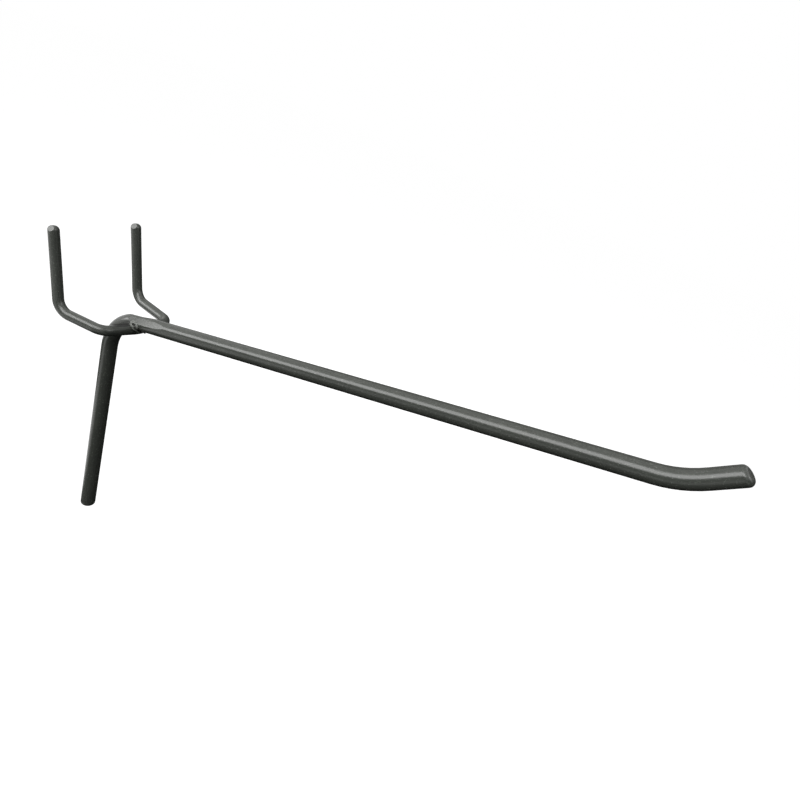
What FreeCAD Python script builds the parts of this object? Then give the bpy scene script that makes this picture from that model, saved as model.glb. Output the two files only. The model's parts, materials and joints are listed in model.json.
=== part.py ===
import FreeCAD
import Part
import math
import os

# A welded wire hook for a perforated board. A thick wire makes the arm, its upturned tip and the
# leg that props it against the board. A thin wire makes the U with the two pegs, and its crossbar
# is set into the underside of the arm by a resistance weld.
# The board's front face is the plane y = 0 and the arm reaches out along -y. The hook's middle is
# the plane x = 0, and z = 0 is the level of the two runs that pass through the board's holes.

# Driving dimensions in millimetres and degrees. Lengths run between the corners of the centre
# lines, and bend radii are those of the centre lines.

# Thick wire
arm_wire_diameter = 4.3
arm_rise = 13.2
arm_length = 148.0
rear_bend_radius = 12.0
leg_length = 68.1
leg_end_rounding = 0.9
tip_turn = 25.0
tip_length = 11.7
tip_bend_radius = 22.0
tip_cut_slant = 19.0
tip_cut_turn = 8.0
tip_end_rounding = 1.0

# Thin wire
peg_wire_diameter = 2.8
peg_pitch = 25.4
peg_length = 21.7
peg_lean = 12.9
peg_end_round_share = 0.86
peg_facet_depth = 0.3
peg_facet_lean = 58.0
peg_facet_turn = 17.0
peg_setback = 3.2
foot_bend_radius = 4.0
left_run_length = 13.5
right_run_length = 15.5
run_splay = 9.5
corner_bend_radius = 3.0
crossbar_drop = 0.9
crossbar_bend_radius = 12.0

# Weld
weld_set_down = 1.5
weld_flash_height = 0.5
side_mark_radius = 120.0
side_mark_depth = 0.22
side_mark_lean = 57.0
side_mark_offset = 4.5
top_mark_radius = 60.0
top_mark_depth = 0.46
top_mark_lean = -18.0
top_mark_offset = -1.6

arm_wire_radius = arm_wire_diameter / 2
peg_wire_radius = peg_wire_diameter / 2
peg_end_rounding = peg_wire_radius * peg_end_round_share


def point(x, y, z):
    return FreeCAD.Vector(x, y, z)


def direction_in_middle_plane(angle_up):
    # Forward direction that climbs by an angle above the horizontal.
    angle = math.radians(angle_up)
    return point(0, -math.cos(angle), math.sin(angle))


def bent_path(corners, bend_radii):
    # Straight runs joined by tangent arcs at the inner corners.
    edges = []
    run_start = corners[0]
    for before, corner, after, radius in zip(corners, corners[1:], corners[2:], bend_radii):
        back = (before - corner).normalize()
        ahead = (after - corner).normalize()
        half_turn = (math.pi - back.getAngle(ahead)) / 2
        tangent_length = radius * math.tan(half_turn)
        inward = (back + ahead).normalize()
        arc_start = corner + back * tangent_length
        arc_middle = corner + inward * (radius / math.cos(half_turn) - radius)
        arc_end = corner + ahead * tangent_length
        edges.append(Part.LineSegment(run_start, arc_start).toShape())
        edges.append(Part.Arc(arc_start, arc_middle, arc_end).toShape())
        run_start = arc_end
    edges.append(Part.LineSegment(run_start, corners[-1]).toShape())
    return Part.Wire(edges)


def round_wire(corners, bend_radii, radius):
    section = Part.makeCircle(radius, corners[0], corners[1] - corners[0])
    path = bent_path(corners, bend_radii)
    return path.makePipe(Part.Face(Part.Wire(section)))


def with_rounded_end(wire, end, rounding):
    end_face = min(wire.Faces, key=lambda face: face.CenterOfMass.distanceToPoint(end))
    return wire.makeFillet(rounding, end_face.Edges)


def block_beyond(place, outward, size):
    # Square block that starts at a flat through a point and lies wholly on its outer side.
    face = Part.makePlane(size, size, point(-size / 2, -size / 2, 0))
    face.Placement = FreeCAD.Placement(place, FreeCAD.Rotation(point(0, 0, 1), outward))
    return face.extrude(outward * size)


# Corners of the thin wire, from the left peg's end round to the right peg's end
peg_direction = direction_in_middle_plane(90 + peg_lean)
splay = math.radians(run_splay)
left_foot = point(-peg_pitch / 2, peg_setback, 0)
right_foot = point(peg_pitch / 2, peg_setback, 0)
left_corner = left_foot + point(math.sin(splay), -math.cos(splay), 0) * left_run_length
right_corner = right_foot + point(-math.sin(splay), -math.cos(splay), 0) * right_run_length
left_share = left_corner.x / (left_corner.x - right_corner.x)
weld_point = left_corner + (right_corner - left_corner) * left_share - point(0, 0, crossbar_drop)
left_peg_end = left_foot + peg_direction * peg_length
right_peg_end = right_foot + peg_direction * peg_length
peg_corners = [left_peg_end, left_foot, left_corner, weld_point, right_corner, right_foot, right_peg_end]
peg_bends = [foot_bend_radius, corner_bend_radius, crossbar_bend_radius, corner_bend_radius, foot_bend_radius]

# Corners of the thick wire, from the foot of the leg to the tip. The arm's centre line passes over
# the crossbar, nearer than the two wires' radii by the set-down of the weld.
arm_direction = direction_in_middle_plane(arm_rise)
arm_upward = direction_in_middle_plane(90 + arm_rise)
tip_direction = direction_in_middle_plane(arm_rise + tip_turn)
weld_spacing = arm_wire_radius + peg_wire_radius - weld_set_down
arm_over_weld = weld_point + arm_upward * weld_spacing
leg_y = -arm_wire_radius
leg_top = arm_over_weld + arm_direction * ((leg_y - arm_over_weld.y) / arm_direction.y)
leg_foot = point(0, leg_y, -leg_length)
tip_corner = leg_top + arm_direction * arm_length
tip_end = tip_corner + tip_direction * tip_length
tip_blank_end = tip_end + tip_direction * arm_wire_diameter
arm_corners = [leg_foot, leg_top, tip_corner, tip_blank_end]
arm_bends = [rear_bend_radius, tip_bend_radius]


def peg_offcut(peg_end):
    # What the cutter takes off the left of a peg's rounded end, leaving a small flat.
    turn = math.radians(peg_facet_turn)
    lean = math.radians(peg_facet_lean)
    peg_front = direction_in_middle_plane(peg_lean)
    sideways = peg_front * math.sin(turn) - point(math.cos(turn), 0, 0)
    outward = peg_direction * math.cos(lean) + sideways * math.sin(lean)
    dome_centre = peg_end - peg_direction * peg_end_rounding
    flat_centre = dome_centre + outward * (peg_wire_radius - peg_facet_depth)
    return block_beyond(flat_centre, outward, peg_wire_diameter)


def make_peg_wire():
    wire = round_wire(peg_corners, peg_bends, peg_wire_radius)
    for peg_end in (left_peg_end, right_peg_end):
        wire = with_rounded_end(wire, peg_end, peg_end_rounding)
        wire = wire.cut(peg_offcut(peg_end))
    return wire


def tip_offcut():
    # All that lies beyond the sheared face of the tip, which leans back at the top and on the left.
    turn = math.radians(tip_cut_turn)
    outward = direction_in_middle_plane(arm_rise + tip_turn + tip_cut_slant) * math.cos(turn)
    outward = outward - point(math.sin(turn), 0, 0)
    return block_beyond(tip_end, outward, 4 * arm_wire_diameter)


def electrode_mark(radius, depth, lean_to_left, offset):
    # Shallow hollow that a welding wheel presses into the arm, so far ahead of the crossbar.
    lean = math.radians(lean_to_left)
    outward = arm_upward * math.cos(lean) - point(math.sin(lean), 0, 0)
    axle = arm_direction.cross(outward)
    centre = arm_over_weld + arm_direction * offset
    centre = centre + outward * (arm_wire_radius + radius - depth)
    wheel_width = 2 * arm_wire_diameter
    wheel_start = centre - axle * (wheel_width / 2)
    return Part.makeCylinder(radius, wheel_width, wheel_start, axle)


def make_arm_wire(peg_wire):
    wire = round_wire(arm_corners, arm_bends, arm_wire_radius)
    wire = wire.cut(tip_offcut())
    wire = with_rounded_end(wire, tip_end, tip_end_rounding)
    wire = with_rounded_end(wire, leg_foot, leg_end_rounding)
    wire = wire.cut(electrode_mark(side_mark_radius, side_mark_depth, side_mark_lean, side_mark_offset))
    wire = wire.cut(electrode_mark(top_mark_radius, top_mark_depth, top_mark_lean, top_mark_offset))
    return wire.cut(peg_wire)


def make_weld_flash(arm_wire, peg_wire):
    # Metal squeezed out along the seam, within the flash's height of both wires.
    near_arm = round_wire(arm_corners, arm_bends, arm_wire_radius + weld_flash_height)
    near_crossbar = round_wire(peg_corners[2:5], peg_bends[2:3], peg_wire_radius + weld_flash_height)
    return near_arm.common(near_crossbar).cut(peg_wire).cut(arm_wire)


peg_wire = make_peg_wire()
arm_wire = make_arm_wire(peg_wire)
weld_flash = make_weld_flash(arm_wire, peg_wire)

nodes = {"arm_wire": arm_wire, "peg_wire": peg_wire, "weld_flash": weld_flash}

os.makedirs("parts", exist_ok=True)
for name, shape in nodes.items():
    shape.exportStep(os.path.join("parts", name + ".step"))
    print(name, "solids", len(shape.Solids), "valid", shape.isValid(), "volume", round(shape.Volume, 2))
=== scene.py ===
import json
import math

import bpy
from mathutils import Matrix, Quaternion, Vector

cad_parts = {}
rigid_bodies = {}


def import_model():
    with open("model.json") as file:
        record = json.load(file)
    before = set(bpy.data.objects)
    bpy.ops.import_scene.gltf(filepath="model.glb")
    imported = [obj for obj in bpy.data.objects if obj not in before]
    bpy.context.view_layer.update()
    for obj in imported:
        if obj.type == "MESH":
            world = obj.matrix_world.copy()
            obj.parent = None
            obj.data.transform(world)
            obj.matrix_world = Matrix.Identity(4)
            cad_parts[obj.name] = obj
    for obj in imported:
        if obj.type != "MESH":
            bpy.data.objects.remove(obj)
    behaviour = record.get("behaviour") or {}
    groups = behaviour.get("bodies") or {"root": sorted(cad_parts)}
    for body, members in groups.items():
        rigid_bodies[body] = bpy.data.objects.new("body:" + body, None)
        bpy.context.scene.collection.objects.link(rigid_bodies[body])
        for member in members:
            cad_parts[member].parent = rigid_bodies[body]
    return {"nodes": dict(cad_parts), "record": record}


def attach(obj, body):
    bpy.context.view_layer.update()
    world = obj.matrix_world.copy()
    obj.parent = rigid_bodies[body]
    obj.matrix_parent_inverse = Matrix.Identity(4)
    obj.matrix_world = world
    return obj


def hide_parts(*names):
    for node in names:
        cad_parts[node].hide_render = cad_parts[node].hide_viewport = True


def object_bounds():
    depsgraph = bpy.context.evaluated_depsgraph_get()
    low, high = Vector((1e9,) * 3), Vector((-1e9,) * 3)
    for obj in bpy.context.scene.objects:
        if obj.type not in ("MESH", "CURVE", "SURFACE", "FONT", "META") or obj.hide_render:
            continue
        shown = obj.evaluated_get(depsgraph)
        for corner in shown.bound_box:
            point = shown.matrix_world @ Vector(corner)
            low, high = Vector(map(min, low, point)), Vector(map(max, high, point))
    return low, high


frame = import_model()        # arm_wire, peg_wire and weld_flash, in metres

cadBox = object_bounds()
mm = 0.001

armMount = next(mount for mount in frame["record"]["mounts"] if mount["name"] == "hanging_arm")
armMiddle = Vector(armMount["pos_m"])
armAlong = Vector(armMount["axis"])
armUp = Vector((1, 0, 0)).cross(armAlong)        # square to the arm, upwards
if armUp.z < 0:
    armUp = -armUp

print("frame loaded:", sorted(frame["nodes"]))


def deselectAll():
    if bpy.context.object and bpy.context.object.mode != "OBJECT":
        bpy.ops.object.mode_set(mode="OBJECT")
    bpy.ops.object.select_all(action="DESELECT")


def pickOnly(piece):
    deselectAll()
    piece.select_set(True)
    bpy.context.view_layer.objects.active = piece


def applyModifiers(piece):
    pickOnly(piece)
    for modifier in list(piece.modifiers):
        bpy.ops.object.modifier_apply(modifier=modifier.name)


def leftOfUp(degrees):
    # direction square to the arm, leaning to its left
    lean = math.radians(degrees)
    return armUp * math.cos(lean) - Vector((1, 0, 0)) * math.sin(lean)


def addNode(tree, kind, place, **values):
    node = tree.nodes.new(kind)
    node.location = place
    for name, value in values.items():
        setattr(node, name, value)
    return node


def setInputs(node, **values):
    for name, value in values.items():
        node.inputs[name.replace("_", " ")].default_value = value


def mathNode(tree, place, operation, first, second=None, third=None, clamp=False):
    node = addNode(tree, "ShaderNodeMath", place, operation=operation, use_clamp=clamp)
    for socket, value in zip(node.inputs, (first, second, third)):
        if value is None:
            continue
        if isinstance(value, (int, float)):
            socket.default_value = value
        else:
            tree.links.new(value, socket)
    return node.outputs["Value"]


def mixColours(tree, place, factor, first, second):
    node = addNode(tree, "ShaderNodeMix", place, data_type="RGBA")
    sockets = (node.inputs[0], node.inputs[6], node.inputs[7])       # factor, colour A, colour B
    for socket, value in zip(sockets, (factor, first, second)):
        if isinstance(value, bpy.types.NodeSocket):
            tree.links.new(value, socket)
        else:
            socket.default_value = value
    return node.outputs[2]


def mapRange(tree, place, value, fromLow, fromHigh, toLow=0.0, toHigh=1.0):
    node = addNode(tree, "ShaderNodeMapRange", place, interpolation_type="SMOOTHSTEP")
    tree.links.new(value, node.inputs["Value"])
    setInputs(node, From_Min=fromLow, From_Max=fromHigh, To_Min=toLow, To_Max=toHigh)
    return node.outputs["Result"]


def newGroup(name, inputs, outputs):
    group = bpy.data.node_groups.new(name, "ShaderNodeTree")
    for socketName, kind, value in inputs:
        socket = group.interface.new_socket(name=socketName, in_out="INPUT", socket_type=kind)
        if value is not None:
            socket.default_value = value
    for socketName, kind in outputs:
        group.interface.new_socket(name=socketName, in_out="OUTPUT", socket_type=kind)
    start = addNode(group, "NodeGroupInput", (-900, 0))
    end = addNode(group, "NodeGroupOutput", (900, 0))
    return group, start, end


def noise(tree, place, vector, scale, detail=2.0, roughness=0.5):
    node = addNode(tree, "ShaderNodeTexNoise", place)
    tree.links.new(vector, node.inputs["Vector"])
    if isinstance(scale, bpy.types.NodeSocket):
        tree.links.new(scale, node.inputs["Scale"])
    else:
        node.inputs["Scale"].default_value = scale
    setInputs(node, Detail=detail, Roughness=roughness)
    return node.outputs["Fac"]


grainLook = {
    "speckCut": (0.56, 0.72),    # only the peaks of the noise show as specks
    "cloudScale": 120.0,
}


def makeSprayGrain():
    # fine specks and orange peel of a thin sprayed lacquer
    group, start, end = newGroup(
        "sprayGrain",
        [("Vector", "NodeSocketVector", None), ("Speck Scale", "NodeSocketFloat", 1800.0),
         ("Peel Scale", "NodeSocketFloat", 700.0)],
        [("Specks", "NodeSocketFloat"), ("Peel", "NodeSocketFloat"), ("Cloud", "NodeSocketFloat")])
    vector = start.outputs["Vector"]
    speckNoise = noise(group, (-600, 300), vector, start.outputs["Speck Scale"], 3.0, 0.65)
    specks = mapRange(group, (-300, 300), speckNoise, *grainLook["speckCut"])
    peel = noise(group, (-600, 0), vector, start.outputs["Peel Scale"], 2.0, 0.5)
    cloud = noise(group, (-600, -300), vector, grainLook["cloudScale"], 3.0, 0.55)
    group.links.new(specks, end.inputs["Specks"])
    group.links.new(peel, end.inputs["Peel"])
    group.links.new(cloud, end.inputs["Cloud"])
    return group


dustAndLitTopLook = {
    "faceUp": (0.1, 0.95),       # upward part of the surface's direction, from bare to fully dusted and painted lighter
    "patchScale": 420.0,
    "patchCut": (0.3, 0.7),
    "thinnest": 0.55,            # what is left of the dust and painted light between the patches
}


def makeDustAndLitTop():
    # pale dust and dry overspray on what faces up, together with painted light: the upper side is
    # painted lighter than the lower
    group, start, end = newGroup(
        "dustAndLitTopGroup",
        [("Vector", "NodeSocketVector", None), ("Normal", "NodeSocketVector", None),
         ("Amount", "NodeSocketFloat", 1.0)],
        [("Mask", "NodeSocketFloat")])
    split = addNode(group, "ShaderNodeSeparateXYZ", (-600, 200))
    group.links.new(start.outputs["Normal"], split.inputs["Vector"])
    upward = mapRange(group, (-350, 200), split.outputs["Z"], *dustAndLitTopLook["faceUp"])
    patch = noise(group, (-600, -150), start.outputs["Vector"], dustAndLitTopLook["patchScale"], 3.0, 0.6)
    patchy = mapRange(group, (-350, -150), patch, *dustAndLitTopLook["patchCut"], dustAndLitTopLook["thinnest"], 1.0)
    mask = mathNode(group, (-50, 100), "MULTIPLY", upward, patchy)
    mask = mathNode(group, (200, 100), "MULTIPLY", mask, start.outputs["Amount"], clamp=True)
    group.links.new(mask, end.inputs["Mask"])
    return group


crossbar = {                     # its middle line, lowest under the arm
    "y": -11.12 * mm, "skew": -0.0957,
    "z": -0.9 * mm, "rise": 0.086,
}
shadeAndSootZone = {
    "reach": (2.0 * mm, 3.8 * mm),           # the broad painted shade round the bar, partly weld soot, thins out over this
    "broad": 0.40,
    "behindBar": (-0.1 * mm, 0.6 * mm),      # both painted shades on the arm start here
    "seamSlope": 0.53,
    "seamEdge": (-4.62 * mm, -4.30 * mm),    # upper edge of the painted shade line along the seam
    "seamFoot": (-3.5 * mm, -1.5 * mm),      # where the painted shade line ends on the inner side of the bend
    "barTop": (-0.68 * mm, -0.30 * mm),      # its front edge on the crossbar, where painted shade lies on the crossbar's top
    "barEnds": (6.0 * mm, 8.5 * mm),
}


def makeWeldShadeAndSoot():
    # painted shade on both wires close to the crossing, in the crevice between crossbar and arm; the
    # broad part also stands for weld soot
    group, start, end = newGroup(
        "weldShadeAndSoot", [("Vector", "NodeSocketVector", None)],
        [("Near Bar", "NodeSocketFloat"), ("Bar Top", "NodeSocketFloat")])
    split = addNode(group, "ShaderNodeSeparateXYZ", (-700, 0))
    group.links.new(start.outputs["Vector"], split.inputs["Vector"])
    x, y, z = split.outputs
    sideways = mathNode(group, (-500, 250), "ABSOLUTE", x)
    lineY = mathNode(group, (-500, 100), "MULTIPLY_ADD", x, crossbar["skew"], crossbar["y"])
    lineZ = mathNode(group, (-500, -100), "MULTIPLY_ADD", sideways, crossbar["rise"], crossbar["z"])
    behind = mathNode(group, (-300, 100), "SUBTRACT", y, lineY)
    above = mathNode(group, (-300, -100), "SUBTRACT", z, lineZ)
    behindSquare = mathNode(group, (-150, 100), "MULTIPLY", behind, behind)
    awaySquare = mathNode(group, (0, 0), "MULTIPLY_ADD", above, above, behindSquare)
    away = mathNode(group, (150, 0), "SQRT", awaySquare)

    behindBar = mapRange(group, (150, -200), behind, *shadeAndSootZone["behindBar"])
    broad = mapRange(group, (300, 0), away, *shadeAndSootZone["reach"], shadeAndSootZone["broad"], 0.0)
    broad = mathNode(group, (450, 0), "MULTIPLY", broad, behindBar)
    slope = mathNode(group, (150, -400), "MULTIPLY_ADD", y, shadeAndSootZone["seamSlope"], z)
    seam = mapRange(group, (300, -400), slope, *shadeAndSootZone["seamEdge"], 1.0, 0.0)
    seamFoot = mapRange(group, (300, -600), z, *shadeAndSootZone["seamFoot"])
    seam = mathNode(group, (450, -400), "MULTIPLY", seam, seamFoot)
    seam = mathNode(group, (600, -400), "MULTIPLY", seam, behindBar)
    nearBar = mathNode(group, (700, 0), "MAXIMUM", broad, seam)
    group.links.new(nearBar, end.inputs["Near Bar"])

    back = mapRange(group, (0, 250), behind, *shadeAndSootZone["barTop"])
    middle = mapRange(group, (0, 400), sideways, *shadeAndSootZone["barEnds"], 1.0, 0.0)
    barTop = mathNode(group, (300, 300), "MULTIPLY", back, middle)
    group.links.new(barTop, end.inputs["Bar Top"])
    return group


sprayGrain = makeSprayGrain()
dustAndLitTopGroup = makeDustAndLitTop()
weldShadeAndSoot = makeWeldShadeAndSoot()


def shadeAndSootMask(tree, coords, kind):
    # painted shade: on the bead everything below its ridges is dark, on the wires the crevice round the
    # crossbar is darkened, partly as weld soot
    if kind == "ridge":
        ridge = addNode(tree, "ShaderNodeAttribute", (-300, 450), attribute_name="ridge").outputs["Fac"]
        return mathNode(tree, (-50, 450), "SUBTRACT", 1.0, ridge, clamp=True)
    shadeAndSoot = addNode(tree, "ShaderNodeGroup", (-300, 450), node_tree=weldShadeAndSoot)
    tree.links.new(coords, shadeAndSoot.inputs["Vector"])
    return shadeAndSoot.outputs[kind]


def makeLacquer(name, finish):
    material = bpy.data.materials.new(name)
    material.use_nodes = True
    tree = material.node_tree
    shader = tree.nodes["Principled BSDF"]
    shader.location = (700, 0)
    coords = addNode(tree, "ShaderNodeTexCoord", (-900, 0)).outputs["Object"]
    facing = addNode(tree, "ShaderNodeNewGeometry", (-900, -300)).outputs["Normal"]
    grain = addNode(tree, "ShaderNodeGroup", (-600, 100), node_tree=sprayGrain)
    setInputs(grain, Speck_Scale=finish["speckScale"], Peel_Scale=finish["peelScale"])
    tree.links.new(coords, grain.inputs["Vector"])
    dustAndLitTop = addNode(tree, "ShaderNodeGroup", (-600, -200), node_tree=dustAndLitTopGroup)
    dustAndLitTop.inputs["Amount"].default_value = finish["dustAndLitTop"]
    tree.links.new(coords, dustAndLitTop.inputs["Vector"])
    tree.links.new(facing, dustAndLitTop.inputs["Normal"])
    colour = mixColours(tree, (-300, 200), grain.outputs["Cloud"], finish["deep"], finish["light"])
    # painted light: what faces up is lighter, partly as dust
    colour = mixColours(tree, (-50, 200), dustAndLitTop.outputs["Mask"], colour, finish["dustAndLitTopColour"])
    speckAmount = mathNode(tree, (-300, 0), "MULTIPLY", grain.outputs["Specks"], finish["specks"])
    colour = mixColours(tree, (200, 200), speckAmount, colour, finish["speckColour"])
    # painted shade in the crevices, mixed towards a near black
    shadeAndSootAmount = shadeAndSootMask(tree, coords, finish["shadeAndSootKind"])
    shadeAndSootAmount = mathNode(tree, (150, 450), "MULTIPLY", shadeAndSootAmount, finish["shadeAndSoot"])
    colour = mixColours(tree, (400, 200), shadeAndSootAmount, colour, finish["shadeAndSootColour"])
    tree.links.new(colour, shader.inputs["Base Color"])
    rough = mapRange(tree, (-50, -100), dustAndLitTop.outputs["Mask"], 0.0, 1.0,
                     finish["gloss"], finish["dustRoughness"])
    rough = mathNode(tree, (400, 0), "MAXIMUM", rough, shadeAndSootAmount)        # the painted shade and soot are matt
    tree.links.new(rough, shader.inputs["Roughness"])
    bump = addNode(tree, "ShaderNodeBump", (400, -300))
    setInputs(bump, Strength=finish["peelStrength"], Distance=finish["peelDepth"])
    tree.links.new(grain.outputs["Peel"], bump.inputs["Height"])
    tree.links.new(bump.outputs["Normal"], shader.inputs["Normal"])
    setInputs(shader, Specular_IOR_Level=finish["specular"])
    return material


wireLacquer = {
    "deep": (0.030, 0.033, 0.029, 1), "light": (0.050, 0.054, 0.047, 1),
    "dustAndLitTopColour": (0.070, 0.074, 0.066, 1), "dustAndLitTop": 0.6, "dustRoughness": 0.40,
    "speckColour": (0.20, 0.21, 0.19, 1), "specks": 0.35,
    "speckScale": 2400.0, "peelScale": 900.0, "peelStrength": 0.15, "peelDepth": 0.02 * mm,
    "gloss": 0.20, "specular": 0.45, "shadeAndSootColour": (0.010, 0.010, 0.009, 1),
}
# arm: painted shade behind the crossbar and along the seam; peg wire: painted shade on the crossbar's
# top
armLacquer = {**wireLacquer, "shadeAndSootKind": "Near Bar", "shadeAndSoot": 0.90}
pegLacquer = {
    **wireLacquer, "shadeAndSootKind": "Bar Top", "shadeAndSoot": 0.95, "gloss": 0.25,
    "deep": (0.035, 0.038, 0.034, 1), "light": (0.057, 0.062, 0.054, 1),
}
# the bead is painted dark as shade everywhere but on its ridges
weldLacquer = {
    **wireLacquer, "shadeAndSootKind": "ridge", "shadeAndSoot": 0.95,
    "deep": (0.070, 0.075, 0.067, 1), "light": (0.140, 0.147, 0.133, 1),
    "gloss": 0.34, "specks": 0.5,
}


def finishWires():
    finishes = {"arm_wire": ("armLacquer", armLacquer), "peg_wire": ("pegLacquer", pegLacquer)}
    for node, (name, finish) in finishes.items():
        frame["nodes"][node].material_slots[0].material = makeLacquer(name, finish)
    print("wires lacquered")


finishWires()


weldBead = {                     # all in mm, in the hook's own frame
    "shelf": {
        "place": (-1.80, -11.95, 1.10), "halves": (1.00, 1.75, 1.15),
        "lean": 57.0, "height": 2.02,        # of its flat, from the arm's upward side and middle line
    },
    "strands": (                 # x, y, z and half thickness along each squeezed-out lip
        ((-2.15, -10.55, 1.30, 0.16), (-2.40, -11.05, 1.10, 0.20), (-2.55, -11.50, 0.98, 0.22),
         (-2.66, -11.95, 0.78, 0.24), (-2.60, -12.35, 0.42, 0.22), (-2.40, -12.65, 0.12, 0.18),
         (-2.05, -12.80, -0.10, 0.20), (-1.65, -12.95, -0.32, 0.23), (-1.20, -13.05, -0.55, 0.20),
         (-0.80, -13.00, -0.85, 0.16)),
        ((2.20, -11.20, 1.15, 0.16), (2.55, -11.80, 0.75, 0.24), (2.35, -12.60, 0.20, 0.20),
         (1.70, -12.95, -0.25, 0.24), (0.90, -13.05, -0.60, 0.18)),
        ((-0.95, -14.85, 0.15, 0.22), (-0.92, -14.95, -0.15, 0.14), (-0.90, -15.00, -0.42, 0.07)),
    ),
    "drops": (                   # place and half sizes
        ((-0.70, -14.10, 0.28), (0.70, 1.30, 0.50)), ((-2.40, -12.38, 1.12), (0.19, 0.21, 0.19)),
        ((1.95, -9.75, -0.50), (0.30, 0.25, 0.24)), ((-2.45, -12.95, 0.55), (0.14, 0.16, 0.14)),
    ),
    "pits": (
        ((-2.38, -12.24, 1.44), (0.44, 0.70, 0.32)), ((-2.46, -12.85, 0.86), (0.34, 0.32, 0.26)),
        ((-1.55, -12.85, -0.72), (0.30, 0.28, 0.26)), ((-0.45, -13.10, -0.50), (0.36, 0.26, 0.30)),
        ((-2.50, -9.70, 0.70), (1.20, 1.05, 0.90)),
    ),
    "voxel": 0.07, "ripple": 0.16, "rippleSize": 0.45,
    "proud": (1.4, 1.75),        # from the bar's middle line, where the pale ridges begin and the painted shade ends
    "ridgeBack": (-10.2, -10.8), "ridgeFront": (-14.2, -13.4),
    "pitRim": (1.02, 1.25),      # in half sizes of the pit
}


def addBlob(place, halves):
    deselectAll()
    bpy.ops.mesh.primitive_ico_sphere_add(subdivisions=3, radius=1.0, location=Vector(place) * mm)
    blob = bpy.context.object
    blob.scale = Vector(halves) * mm
    bpy.ops.object.transform_apply(location=True, rotation=False, scale=True)
    return blob


def joinPieces(pieces):
    pickOnly(pieces[0])
    for piece in pieces:
        piece.select_set(True)
    bpy.ops.object.join()
    return pieces[0]


def makeShelf(shelf):
    # flat continuation of the electrode's mark, pressed out over the crossbar
    blob = addBlob(shelf["place"], shelf["halves"])
    outward = leftOfUp(shelf["lean"])
    bpy.ops.object.mode_set(mode="EDIT")
    bpy.ops.mesh.select_all(action="SELECT")
    bpy.ops.mesh.bisect(plane_co=armMiddle + outward * shelf["height"] * mm, plane_no=outward,
                        use_fill=True, clear_outer=True)
    bpy.ops.object.mode_set(mode="OBJECT")
    return blob


def makeStrand(points):
    blobs = []
    for first, last in zip(points, points[1:]):
        for step in range(4):
            x, y, z, half = Vector(first).lerp(Vector(last), step / 4)
            blobs.append(addBlob((x, y, z), (half, half, half)))
    return blobs


def ramp(value, low, high):
    return min(1.0, max(0.0, (value - low) / (high - low)))


def markRidges(bead):
    # painted shade: dark in the pits, behind and under the arm, while what stands proud of the crossbar
    # keeps its lighter colour
    ridge = bead.data.attributes.new("ridge", "FLOAT", "POINT")
    for vertex, value in zip(bead.data.vertices, ridge.data):
        place = vertex.co
        barY = crossbar["y"] + crossbar["skew"] * place.x
        barZ = crossbar["z"] + crossbar["rise"] * abs(place.x)
        light = ramp(math.hypot(place.y - barY, place.z - barZ) / mm, *weldBead["proud"])
        light *= ramp(place.y / mm, *weldBead["ridgeBack"])
        light *= ramp(place.y / mm, *weldBead["ridgeFront"])
        for centre, halves in weldBead["pits"]:
            inside = Vector((place[axis] / mm - centre[axis]) / halves[axis] for axis in range(3)).length
            light *= ramp(inside, *weldBead["pitRim"])
        value.value = light


def copyFlash():
    pickOnly(frame["nodes"]["weld_flash"])
    bpy.ops.object.duplicate()
    bead = bpy.context.object
    bpy.ops.object.parent_clear(type="CLEAR_KEEP_TRANSFORM")
    bead.name = "weldBead"
    for key in list(bead.keys()):            # the node's own tags stay with the node
        del bead[key]
    bead.data.materials.clear()
    bpy.ops.object.mode_set(mode="EDIT")
    bpy.ops.mesh.select_all(action="SELECT")
    bpy.ops.mesh.remove_doubles(threshold=0.001 * mm)
    bpy.ops.object.mode_set(mode="OBJECT")
    return bead


def roughenBead(bead):
    # one skin over flash and blobs, pitted and rippled
    pits = joinPieces([addBlob(place, halves) for place, halves in weldBead["pits"]])
    remesh = bead.modifiers.new("remesh", "REMESH")
    remesh.mode = "VOXEL"
    remesh.voxel_size = weldBead["voxel"] * mm
    carve = bead.modifiers.new("carve", "BOOLEAN")
    carve.operation = "DIFFERENCE"
    carve.object = pits
    ripples = bpy.data.textures.new("ripples", "CLOUDS")
    ripples.noise_scale = weldBead["rippleSize"] * mm
    ruffle = bead.modifiers.new("ruffle", "DISPLACE")
    ruffle.texture = ripples
    ruffle.texture_coords = "LOCAL"
    ruffle.strength = weldBead["ripple"] * mm
    applyModifiers(bead)
    bpy.data.objects.remove(pits)
    pickOnly(bead)
    bpy.ops.object.shade_smooth()


def makeWeldBead():
    flash = copyFlash()
    blobs = [makeShelf(weldBead["shelf"])]
    for points in weldBead["strands"]:
        blobs += makeStrand(points)
    blobs += [addBlob(place, halves) for place, halves in weldBead["drops"]]
    bead = joinPieces([flash] + blobs)
    roughenBead(bead)
    markRidges(bead)
    bead.data.materials.append(makeLacquer("weldLacquer", weldLacquer))
    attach(bead, "root")
    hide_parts("weld_flash")
    print("weld bead made:", len(bead.data.polygons), "faces")


makeWeldBead()


studio = {
    "floorDrop": 350 * mm,       # how far the floor lies under the hook
    "floorSize": 12.0,
    "ambient": 0.06,             # what the room gives all round
    "floorColour": (0.20, 0.20, 0.20, 1), "floorRoughness": 0.9,
    "floorGlow": 0.985,          # takes the floor up to white for the camera
}


def seenDirectly(tree, place):
    # camera, mirror and see-through rays all find the white background
    path = addNode(tree, "ShaderNodeLightPath", place)
    seen = mathNode(tree, (place[0] + 200, place[1]), "ADD",
                    path.outputs["Is Camera Ray"], path.outputs["Is Glossy Ray"])
    return mathNode(tree, (place[0] + 400, place[1]), "ADD",
                    seen, path.outputs["Is Transmission Ray"], clamp=True)


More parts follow.
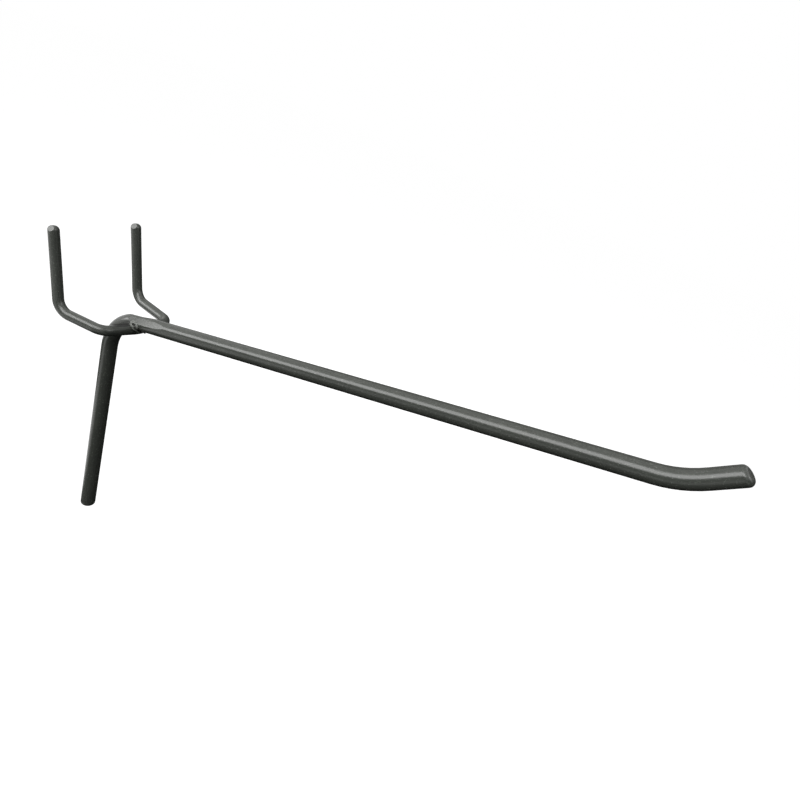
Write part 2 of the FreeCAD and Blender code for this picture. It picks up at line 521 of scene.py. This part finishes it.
def makeWorld():
    world = bpy.data.worlds.new("whiteRoom")
    bpy.context.scene.world = world
    world.use_nodes = True
    tree = world.node_tree
    tree.nodes.clear()
    out = addNode(tree, "ShaderNodeOutputWorld", (600, 0))
    room = addNode(tree, "ShaderNodeBackground", (0, 100))
    setInputs(room, Color=(1, 1, 1, 1), Strength=studio["ambient"])
    white = addNode(tree, "ShaderNodeBackground", (0, -100))
    setInputs(white, Color=(1, 1, 1, 1), Strength=1.0)
    mix = addNode(tree, "ShaderNodeMixShader", (300, 0))
    tree.links.new(seenDirectly(tree, (-700, 300)), mix.inputs["Fac"])
    tree.links.new(room.outputs["Background"], mix.inputs[1])
    tree.links.new(white.outputs["Background"], mix.inputs[2])
    tree.links.new(mix.outputs["Shader"], out.inputs["Surface"])


def makeFloor():
    deselectAll()
    low = cadBox[0].z - studio["floorDrop"]
    bpy.ops.mesh.primitive_plane_add(size=studio["floorSize"], location=(0, 0, low))
    floor = bpy.context.object
    floor.name = "floor"
    material = bpy.data.materials.new("whiteFloor")
    material.use_nodes = True
    tree = material.node_tree
    shader = tree.nodes["Principled BSDF"]
    setInputs(shader, Base_Color=studio["floorColour"], Roughness=studio["floorRoughness"],
              Specular_IOR_Level=0.0, Emission_Color=(1, 1, 1, 1))
    glow = mathNode(tree, (-200, -300), "MULTIPLY", seenDirectly(tree, (-900, -300)),
                    studio["floorGlow"])
    tree.links.new(glow, shader.inputs["Emission Strength"])
    floor.data.materials.append(material)


def aimAt(thing, target, roll=0.0):
    look = Vector(target) - thing.location
    turn = look.to_track_quat("-Z", "Y") @ Quaternion((0, 0, 1), math.radians(roll))
    thing.rotation_mode = "QUATERNION"
    thing.rotation_quaternion = turn


softBox = {
    "lean": 47.0,                # degrees to the left of the arm's own upward side
    "reach": 0.55, "shift": -0.42,           # from the arm's middle, outwards and along the arm
    "width": 0.36, "length": 1.5, "power": 9.5,
}
frontStrip = {                   # a tall strip that puts small glints on ends and bends
    "place": (0.15, -1.15, 0.62), "width": 0.22, "height": 0.80, "power": 3.0,
}
backFill = {                     # soft light on the side turned away from the camera
    "place": (1.30, 0.45, -0.16), "width": 1.0, "height": 0.36, "power": 13.0,
}


def addAreaLight(name, length, width, power, matrix):
    data = bpy.data.lights.new(name, "AREA")
    data.shape = "RECTANGLE"
    data.size = length
    data.size_y = width
    data.energy = power
    light = bpy.data.objects.new(name, data)
    bpy.context.scene.collection.objects.link(light)
    light.matrix_world = matrix
    light.visible_camera = False
    return light


def makeSoftBox():
    # the long side runs along the arm, and the face looks at it
    outward = leftOfUp(softBox["lean"])
    place = armMiddle + outward * softBox["reach"] + armAlong * softBox["shift"]
    axes = Matrix((armAlong, outward.cross(armAlong), outward)).transposed()
    addAreaLight("softBox", softBox["length"], softBox["width"], softBox["power"],
                 Matrix.Translation(place) @ axes.to_4x4())


def makeStandLight(name, light):
    place = Vector(light["place"])
    turn = (place - armMiddle).to_track_quat("Z", "Y")
    return addAreaLight(name, light["width"], light["height"], light["power"],
                        Matrix.Translation(place) @ turn.to_matrix().to_4x4())


flags = {                        # grey is what the lacquer mirrors of each card
    "under": {"place": (0.15, -0.24, -0.16), "facing": (0, 0, 1), "size": (0.90, 0.72), "grey": 0.01},
    "corner": {"place": (-0.20, 0.105, -0.158), "facing": (0, 0, 1), "size": (0.22, 0.05), "grey": 0.80},
    "left": {"place": (-0.50, -0.22, -0.16), "facing": (0, 0, 1), "size": (0.40, 0.76), "grey": 0.60},
    "front": {"place": (0.40, -0.70, 0.02), "facing": (0, 1, 0), "size": (1.90, 0.60), "grey": 0.03},
    "right": {"place": (0.60, 0.10, 0.35), "facing": (-1, 0, 0), "size": (1.00, 0.90), "grey": 0.25},
    "rear": {"place": (0.0, 0.25, -0.146), "facing": (0, -1, 0), "size": (0.50, 0.068), "grey": 0.02},
    "side": {"place": (-0.60, -0.15, 0.06), "facing": (1, 0, 0), "size": (1.60, 0.32), "grey": 0.10},
    "behind": {"place": (0.45, -0.01, -0.10), "facing": (-0.86, -0.28, 0.43), "size": (0.70, 0.85),
               "grey": 0.15},
}


def makeFlag(name, flag):
    # a card that only the lacquer mirrors, unseen by the camera
    deselectAll()
    bpy.ops.mesh.primitive_plane_add(size=1.0)
    card = bpy.context.object
    card.name = name
    card.scale = (*flag["size"], 1)
    card.location = flag["place"]
    card.rotation_mode = "QUATERNION"
    card.rotation_quaternion = Vector(flag["facing"]).to_track_quat("Z", "Y")
    material = bpy.data.materials.new(name)
    material.use_nodes = True
    setInputs(material.node_tree.nodes["Principled BSDF"], Base_Color=(0, 0, 0, 1), Roughness=1.0,
              Specular_IOR_Level=0.0, Emission_Color=(1, 1, 1, 1), Emission_Strength=flag["grey"])
    card.data.materials.append(material)
    card.visible_camera = False
    card.visible_shadow = False


makeWorld()
makeFloor()
makeSoftBox()
makeStandLight("frontStrip", frontStrip)
fill = makeStandLight("backFill", backFill)
fill.visible_glossy = False      # it leaves no stripe in the lacquer
for flagName, flag in flags.items():
    makeFlag("flag." + flagName, flag)
print("studio lit")


shot = {
    "place": (-117.09 * mm, -127.75 * mm, 77.39 * mm),
    "target": (0, -88.95 * mm, 19.26 * mm),
    "roll": 21.06,               # degrees, the hook lies turned in the picture
    "lens": 27.56, "sensor": 36.0, "nearest": 5 * mm,
}


def makeCamera():
    data = bpy.data.cameras.new("camera")
    data.sensor_width = shot["sensor"]
    data.lens = shot["lens"]
    data.clip_start = shot["nearest"]
    camera = bpy.data.objects.new("camera", data)
    bpy.context.scene.collection.objects.link(camera)
    camera.location = shot["place"]
    aimAt(camera, shot["target"], shot["roll"])
    bpy.context.scene.camera = camera


makeCamera()
bpy.context.scene.view_settings.view_transform = "Standard"
print("camera set")
